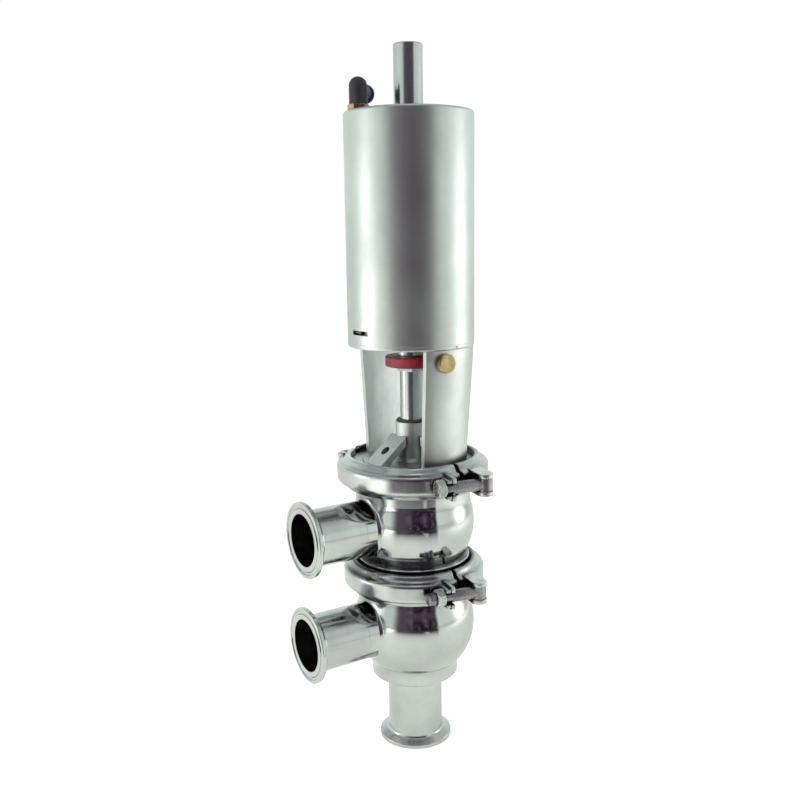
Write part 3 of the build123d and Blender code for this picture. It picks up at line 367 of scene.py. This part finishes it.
def make_cloth():
    """The dark cloth behind the camera, hanging and then lying on the floor."""
    def across(share):
        return CAMERA_AZIMUTH + CLOTH_LEFT + share * (CLOTH_RIGHT - CLOTH_LEFT)

    def hanging(u, v):
        return polar(CLOTH_RADIUS, across(u), CLOTH_LOW + v * (CLOTH_HIGH - CLOTH_LOW))

    def lying(u, v):
        return polar(CLOTH_FRONT + v * (CLOTH_RADIUS - CLOTH_FRONT), across(u), 2 * FLOOR_GAP)

    dark = glowing("studio_cloth", cloth)
    for name, point in (("cloth_hanging", hanging), ("cloth_lying", lying)):
        sheet = add_object(name, grid_mesh(name, point, 24, 4))
        sheet.data.materials.append(dark)
        only_reflected(sheet)


def make_lights():
    """The soft boxes, and the glowing boards on both sides, overhead and lying on the floor."""
    left = aimed(radians(-80), VALVE_MIDDLE, SIDE_DISTANCE)
    right = aimed(radians(98), VALVE_MIDDLE, SIDE_DISTANCE)
    window = aimed(radians(-38), 0.42, SIDE_DISTANCE)
    above = aimed(radians(12), 1.7, 0.35)
    glare = polar(GLARE_DISTANCE, CAMERA_AZIMUTH + GLARE_AZIMUTH, 2 * FLOOR_GAP)
    low = Matrix.Translation(glare) @ Matrix.Rotation(CAMERA_AZIMUTH + GLARE_AZIMUTH, 4, "Z")
    make_lamp("key_left", left, width=0.7, tall=1.2, watts=4.0)
    make_lamp("key_right", right, width=0.7, tall=1.2, watts=4.0)
    make_lamp("window_light", window, width=0.5, tall=0.8, watts=14.0)
    make_lamp("top_light", above, width=0.8, tall=0.8, watts=3.0)
    make_board("board_left", left, width=1.2, tall=1.1, level=4.0)
    make_board("board_right", right, width=1.3, tall=1.25, level=3.3)
    make_board("board_low", low, width=1.7, tall=1.2, level=1.7)
    make_board("board_above", above, width=0.9, tall=0.9, level=2.0)


# Materials

class Shader(Nodes):
    """A material's node tree, with short calls for the nodes that the finishes share."""

    def __init__(self, name, metallic, roughness, colour):
        self.material = bpy.data.materials.new(name)
        self.material.use_nodes = True
        super().__init__(self.material.node_tree)
        self.bsdf = self.tree.nodes["Principled BSDF"].inputs
        self.fill(self.bsdf["Metallic"], metallic)
        self.fill(self.bsdf["Roughness"], roughness)
        self.fill(self.bsdf["Base Color"], colour)
        self.normal = None

    def stretched(self, scale):
        """Coordinates stretched by a scale along each axis."""
        return self.vector("MULTIPLY", self.place(), scale).outputs["Vector"]

    def noise(self, scale, detail=4.0, rough=0.55, place=None):
        """Noise of so many features to the metre."""
        return self.add("ShaderNodeTexNoise", Vector=place or self.place(), Scale=scale, Detail=detail,
                        Roughness=rough).outputs["Fac"]

    def tinted(self, tone, mask, strength, tint):
        """A tone with a tint laid over it where a mask is, at a strength."""
        return self.mixed(self.maths("MULTIPLY", mask, strength), tone, tint)

    def bump(self, height, depth, strength=1.0):
        """Adds a bump of a depth in metres on top of those before it."""
        node = self.add("ShaderNodeBump", Height=height, Distance=depth, Strength=strength)
        if self.normal is not None:
            self.fill(node.inputs["Normal"], self.normal)
        self.normal = node.outputs["Normal"]

    def facing(self):
        """The surface's own direction."""
        return self.add("ShaderNodeNewGeometry").outputs["Normal"]

    def rounded_edges(self, radius):
        """Softens the sharp edges, and gives a mask of where they are."""
        node = self.add("ShaderNodeBevel", Radius=radius)
        node.samples = EDGE_SAMPLES
        self.normal = node.outputs["Normal"]
        turn = self.vector("DOT_PRODUCT", self.normal, self.facing()).outputs["Value"]
        return self.ranged(turn, 0.999, 0.93)

    def faces_inwards(self):
        """A mask of the faces that look at the Z axis."""
        outwards = self.vector("NORMALIZE", self.stretched((1, 1, 0))).outputs["Vector"]
        turn = self.vector("DOT_PRODUCT", outwards, self.facing()).outputs["Value"]
        return self.ranged(turn, -0.2, -0.6)

    def threads(self, along, pitch, start):
        """A wave along a direction, one crest to a pitch, that begins at a distance from the origin."""
        reach = self.vector("DOT_PRODUCT", self.place(), tuple(along)).outputs["Value"]
        wave = self.maths("SINE", self.maths("MULTIPLY", reach, 2 * pi / pitch))
        return self.maths("MULTIPLY", wave, self.ranged(reach, start, start + pitch))

    def crevices(self, depth, clear=0.72, shut=0.25):
        """A mask of the corners and gaps that are narrower than a depth.

        It begins where a surface sees less than the share clear of its surroundings, and is full at shut.
        """
        node = self.add("ShaderNodeAmbientOcclusion", Distance=depth)
        node.samples = CREVICE_SAMPLES
        return self.ranged(node.outputs["AO"], clear, shut)

    def finish(self, **sockets):
        """Fills in the surface's own sockets and gives the material."""
        for socket, value in sockets.items():
            self.fill(self.bsdf[socket.replace("_", " ")], value)
        if self.normal is not None:
            self.fill(self.bsdf["Normal"], self.normal)
        return self.material


def polished_steel(name, colour, shade, roughness, waviness, edge=POLISHED_EDGE, smear=1.0, shade_gap=None):
    """Mirror-polished steel: long soft waves, hairline polishing marks and a few dull smears.

    The last argument is what crevices takes: gaps of that size get painted shade.
    """
    s = Shader(name, 1.0, roughness, colour)
    edges = s.rounded_edges(edge) if edge else None
    smears = s.noise(28, 5.0, 0.6)
    hairlines = s.noise(900, 3.0, 0.6, s.stretched((1.0, 1.0, 0.06)))
    rough = s.ranged(smears, 0.42, 0.72, roughness * (1 - 0.25 * smear), roughness * (1 + 0.9 * smear))
    rough = s.maths("ADD", rough, s.ranged(hairlines, 0.45, 0.75, 0.0, roughness * 0.6 * smear))
    tone = s.mixed(s.ranged(smears, 0.35, 0.7), colour, shade)
    if edges is not None:
        tone = s.tinted(tone, edges, 0.35, scaled(colour, 1.12))
    if shade_gap:
        # Painted shade: gaps narrower than the given depth are darkened
        tone = s.tinted(tone, s.crevices(*shade_gap), 0.95, PAINTED_SHADE)
    s.bump(s.noise(32, 2.0, 0.4), waviness)
    s.bump(hairlines, 0.002 * MM * smear)
    return s.finish(Base_Color=tone, Roughness=rough)


def blasted_steel(name, roughness, grain, depth, blotch, inside=None):
    """Bead-blasted steel: a close pitted grain, cloudy patches, edges rubbed brighter, and painted shade in
    its corners and gaps.

    A colour given for the inside is laid on the faces that look at the valve's axis: a dull skin, painted
    lighter than the outside to stand in for the light that falls inside, with real stains over it.
    """
    s = Shader(name, 1.0, roughness, SATIN)
    edges = s.rounded_edges(BLASTED_EDGE)
    cloud = s.noise(blotch, 5.0, 0.62)
    speck = s.noise(grain, 3.0, 0.7)
    pits = s.noise(grain * 0.45, 2.0, 0.6)
    tone = s.mixed(s.ranged(cloud, 0.36, 0.68), SATIN, SATIN_DARK)
    tone = s.mixed(s.ranged(speck, 0.52, 0.74, 0.0, 0.45), tone, scaled(SATIN_DARK, 0.6))
    tone = s.tinted(tone, edges, 0.5, scaled(SATIN, 1.2))
    # Painted shade: corners and gaps narrower than 8 mm are darkened
    tone = s.tinted(tone, s.crevices(8 * MM), 0.55, PAINTED_SHADE)
    rough = s.ranged(cloud, 0.3, 0.7, roughness * 0.85, roughness * 1.2)
    rough = s.maths("SUBTRACT", rough, s.maths("MULTIPLY", edges, roughness * 0.3))
    s.bump(speck, depth)
    s.bump(pits, depth * 2.0, 0.6)
    if inside is None:
        return s.finish(Base_Color=tone, Roughness=rough)
    # Painted light: the inward faces get a lighter dull colour for the light that falls inside; the stains
    # over it are real
    within = s.faces_inwards()
    stains = s.noise(70, 5.0, 0.6, s.stretched((1.0, 1.0, 0.4)))
    tone = s.mixed(within, tone, s.mixed(s.ranged(stains, 0.42, 0.70), inside, CAST_STAIN))
    rough = s.maths("ADD", rough, s.maths("MULTIPLY", within, 0.15))
    return s.finish(Base_Color=tone, Roughness=rough, Metallic=s.ranged(within, 0, 1, 1.0, 0.0))


def turned_metal(name, colour, shade, roughness, lines, depth, stretch, thread=None,
                 shade_depth=5 * MM, shade_share=0.5):
    """Turned or drawn metal: fine tool lines across one direction, and darker tarnish in patches.

    Gaps narrower than the given depth get painted shade at the given share. A thread is its direction, its
    pitch and where along that direction it starts; its troughs get painted shade.
    """
    s = Shader(name, 1.0, roughness, colour)
    edges = s.rounded_edges(FINE_EDGE)
    marks = s.noise(lines, 3.0, 0.7, s.stretched(stretch))
    tarnish = s.noise(160, 5.0, 0.65)
    tone = s.mixed(s.ranged(tarnish, 0.40, 0.72, 0.0, 0.9), colour, shade)
    tone = s.mixed(s.ranged(marks, 0.5, 0.8, 0.0, 0.4), tone, shade)
    tone = s.tinted(tone, edges, 0.6, scaled(colour, 1.25))
    # Painted shade: gaps narrower than the given depth are darkened
    tone = s.tinted(tone, s.crevices(shade_depth, 0.90, 0.45), shade_share, PAINTED_SHADE)
    rough = s.ranged(marks, 0.3, 0.7, roughness * 0.8, roughness * 1.3)
    if thread:
        wave = s.threads(*thread)
        # Painted shade in the thread's troughs
        tone = s.mixed(s.ranged(wave, 0.0, -0.9, 0.0, 0.15), tone, PAINTED_SHADE)
        s.bump(wave, THREAD_DEPTH)
    s.bump(marks, depth)
    return s.finish(Base_Color=tone, Roughness=rough)


def moulded_plastic(name, colour, shade, roughness, grain, depth):
    """Moulded plastic: a faint orange-peel skin, flow clouds and scuffed edges."""
    s = Shader(name, 0.0, roughness, colour)
    edges = s.rounded_edges(MOULDED_EDGE)
    cloud = s.noise(130, 4.0, 0.6)
    skin = s.noise(grain, 2.0, 0.5)
    scuffs = s.noise(700, 4.0, 0.7, s.stretched((1.0, 1.0, 0.25)))
    tone = s.mixed(s.ranged(cloud, 0.35, 0.7), colour, shade)
    tone = s.tinted(tone, edges, s.ranged(scuffs, 0.4, 0.7, 0.1, 0.7), scaled(colour, 1.6, 0.02))
    rough = s.ranged(scuffs, 0.45, 0.75, roughness, roughness * 1.5)
    s.bump(skin, depth)
    return s.finish(Base_Color=tone, Roughness=rough, Specular_IOR_Level=0.5)


def seal_rubber(name, colour, dust_colour):
    """Black rubber: a dull skin with dust in its pores."""
    s = Shader(name, 0.0, 0.62, colour)
    pores = s.noise(2600, 3.0, 0.6)
    dust = s.noise(240, 5.0, 0.65)
    tone = s.mixed(s.ranged(dust, 0.5, 0.75, 0.0, 0.5), colour, dust_colour)
    s.bump(pores, 0.02 * MM)
    return s.finish(Base_Color=tone, Roughness=s.ranged(pores, 0.3, 0.7, 0.5, 0.75))


# The finish of every CAD node

def paint(material, *names):
    """Gives CAD nodes a material in place of their own."""
    for name in names:
        data = nodes[name].data
        data.materials.clear()
        data.materials.append(material)


def bolt_thread(side):
    """The direction, pitch and start of a clamp bolt's thread, from its two joints."""
    along = Vector(joints[f"{side}_nut_run"]["axis"])
    eye = Vector(joints[f"{side}_bolt_swing"]["pos_m"])
    return along, THREAD_PITCH, along.dot(eye) + EYE_REACH


def paint_steel():
    """The polished and blasted pieces: the bodies and ports, the stem's rods, and the cylinder and yoke."""
    # The bodies get painted shade in their gaps
    paint(polished_steel("mirror_steel", STEEL, STEEL_DARK, roughness=0.08, waviness=0.06 * MM,
                         shade_gap=(14 * MM, 0.72, 0.25)),
          "lower_body", "upper_body")
    paint(polished_steel("tube_steel", STEEL, STEEL_DARK, roughness=0.10, waviness=0.012 * MM),
          "bottom_ferrule", "lower_side_ferrule", "upper_side_ferrule")
    paint(polished_steel("rod_steel", ROD_STEEL, ROD_STEEL_DARK, roughness=0.22, waviness=0.003 * MM,
                         edge=0.0, smear=0.2),
          "valve_stem", "top_rod")
    paint(blasted_steel("cylinder_steel", roughness=0.37, grain=2600, depth=0.014 * MM, blotch=22),
          "actuator_cylinder", "top_cover")
    paint(blasted_steel("yoke_steel", roughness=0.40, grain=2200, depth=0.02 * MM, blotch=30,
                        inside=CAST_INSIDE_LIT),
          "yoke")
    paint(blasted_steel("bonnet_steel", roughness=0.40, grain=1900, depth=0.025 * MM, blotch=40),
          "bonnet")


def paint_clamps():
    """The two clamps, each with its own bolt's thread."""
    # The clamps get painted shade in their gaps
    clamp = polished_steel("clamp_steel", STEEL, STEEL_DARK, roughness=0.12, waviness=0.16 * MM,
                           edge=CLAMP_EDGE, shade_gap=(18 * MM, 0.90, 0.55))
    plain = turned_metal("plain_steel", SATIN, BOLT, roughness=0.26, lines=1600, depth=0.008 * MM,
                         stretch=(0.3, 0.3, 1.0))
    for side in ("lower", "upper"):
        # Painted shade: the bolts get deep, strong shade in the gaps around them
        bolt = turned_metal(f"{side}_bolt_steel", BOLT, BOLT_DARK, roughness=0.26, lines=1600,
                            depth=0.008 * MM, stretch=(1.0, 0.2, 0.2), thread=bolt_thread(side),
                            shade_depth=12 * MM, shade_share=0.9)
        paint(clamp, *(f"{side}_clamp_{piece}" for piece in ("nut_half", "bolt_half", "link")))
        paint(plain, *(f"{side}_clamp_{piece}" for piece in ("hinge_pins", "pivot_pin", "nut")))
        paint(bolt, f"{side}_clamp_bolt")


def paint_small_pieces():
    """The turned, moulded and rubber pieces."""
    paint(turned_metal("turned_steel", STEEL, STEEL_DARK, roughness=0.20, lines=2000, depth=0.006 * MM,
                       stretch=(0.05, 0.05, 1.0)),
          "piston_rod", "valve_plug", "seat_ring", "piston", "lock_nut", "return_spring")
    paint(turned_metal("wire_steel", BOLT, BOLT_DARK, roughness=0.40, lines=1600, depth=0.010 * MM,
                       stretch=(0.1, 0.1, 1.0)),
          "retaining_wire", "lip_screw")
    paint(turned_metal("brass", BRASS, BRASS_DARK, roughness=0.26, lines=1500, depth=0.010 * MM,
                       stretch=(0.10, 0.10, 1.0)),
          "vent_plug", "fitting_nut")
    paint(moulded_plastic("elbow_plastic", BLACK, BLACK_DARK, roughness=0.46, grain=1500, depth=0.006 * MM),
          "elbow_body")
    paint(moulded_plastic("collar_plastic", BLUE, BLUE_DARK, roughness=0.32, grain=1500, depth=0.008 * MM),
          "release_collar")
    paint(moulded_plastic("indicator_plastic", RED, RED_DARK, roughness=0.34, grain=1700, depth=0.010 * MM),
          "indicator_ring")
    paint(moulded_plastic("bush_plastic", IVORY, IVORY_DARK, roughness=0.5, grain=1500, depth=0.01 * MM),
          "stem_bush", "rod_bush", "top_rod_bush")
    paint(seal_rubber("seal_rubber", RUBBER, RUBBER_DUST),
          "body_gasket", "bonnet_gasket", "stem_seal", "stem_wiper", "head_o_ring", "rod_seal",
          "top_rod_seal", "piston_seal", "upper_plug_seal", "lower_plug_seal")


def make_spring():
    """The return spring, wound as in the CAD, as a copy on its own mesh fixed to the root."""
    spring = add_object("return_spring_wound", nodes["return_spring"].data.copy())
    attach(spring, "root")
    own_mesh(spring)
    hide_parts("return_spring")


bpy.context.scene.view_settings.view_transform = "Standard"
make_camera()
make_world()
make_floor()
make_cloth()
make_lights()
paint_steel()
paint_clamps()
paint_small_pieces()
make_spring()
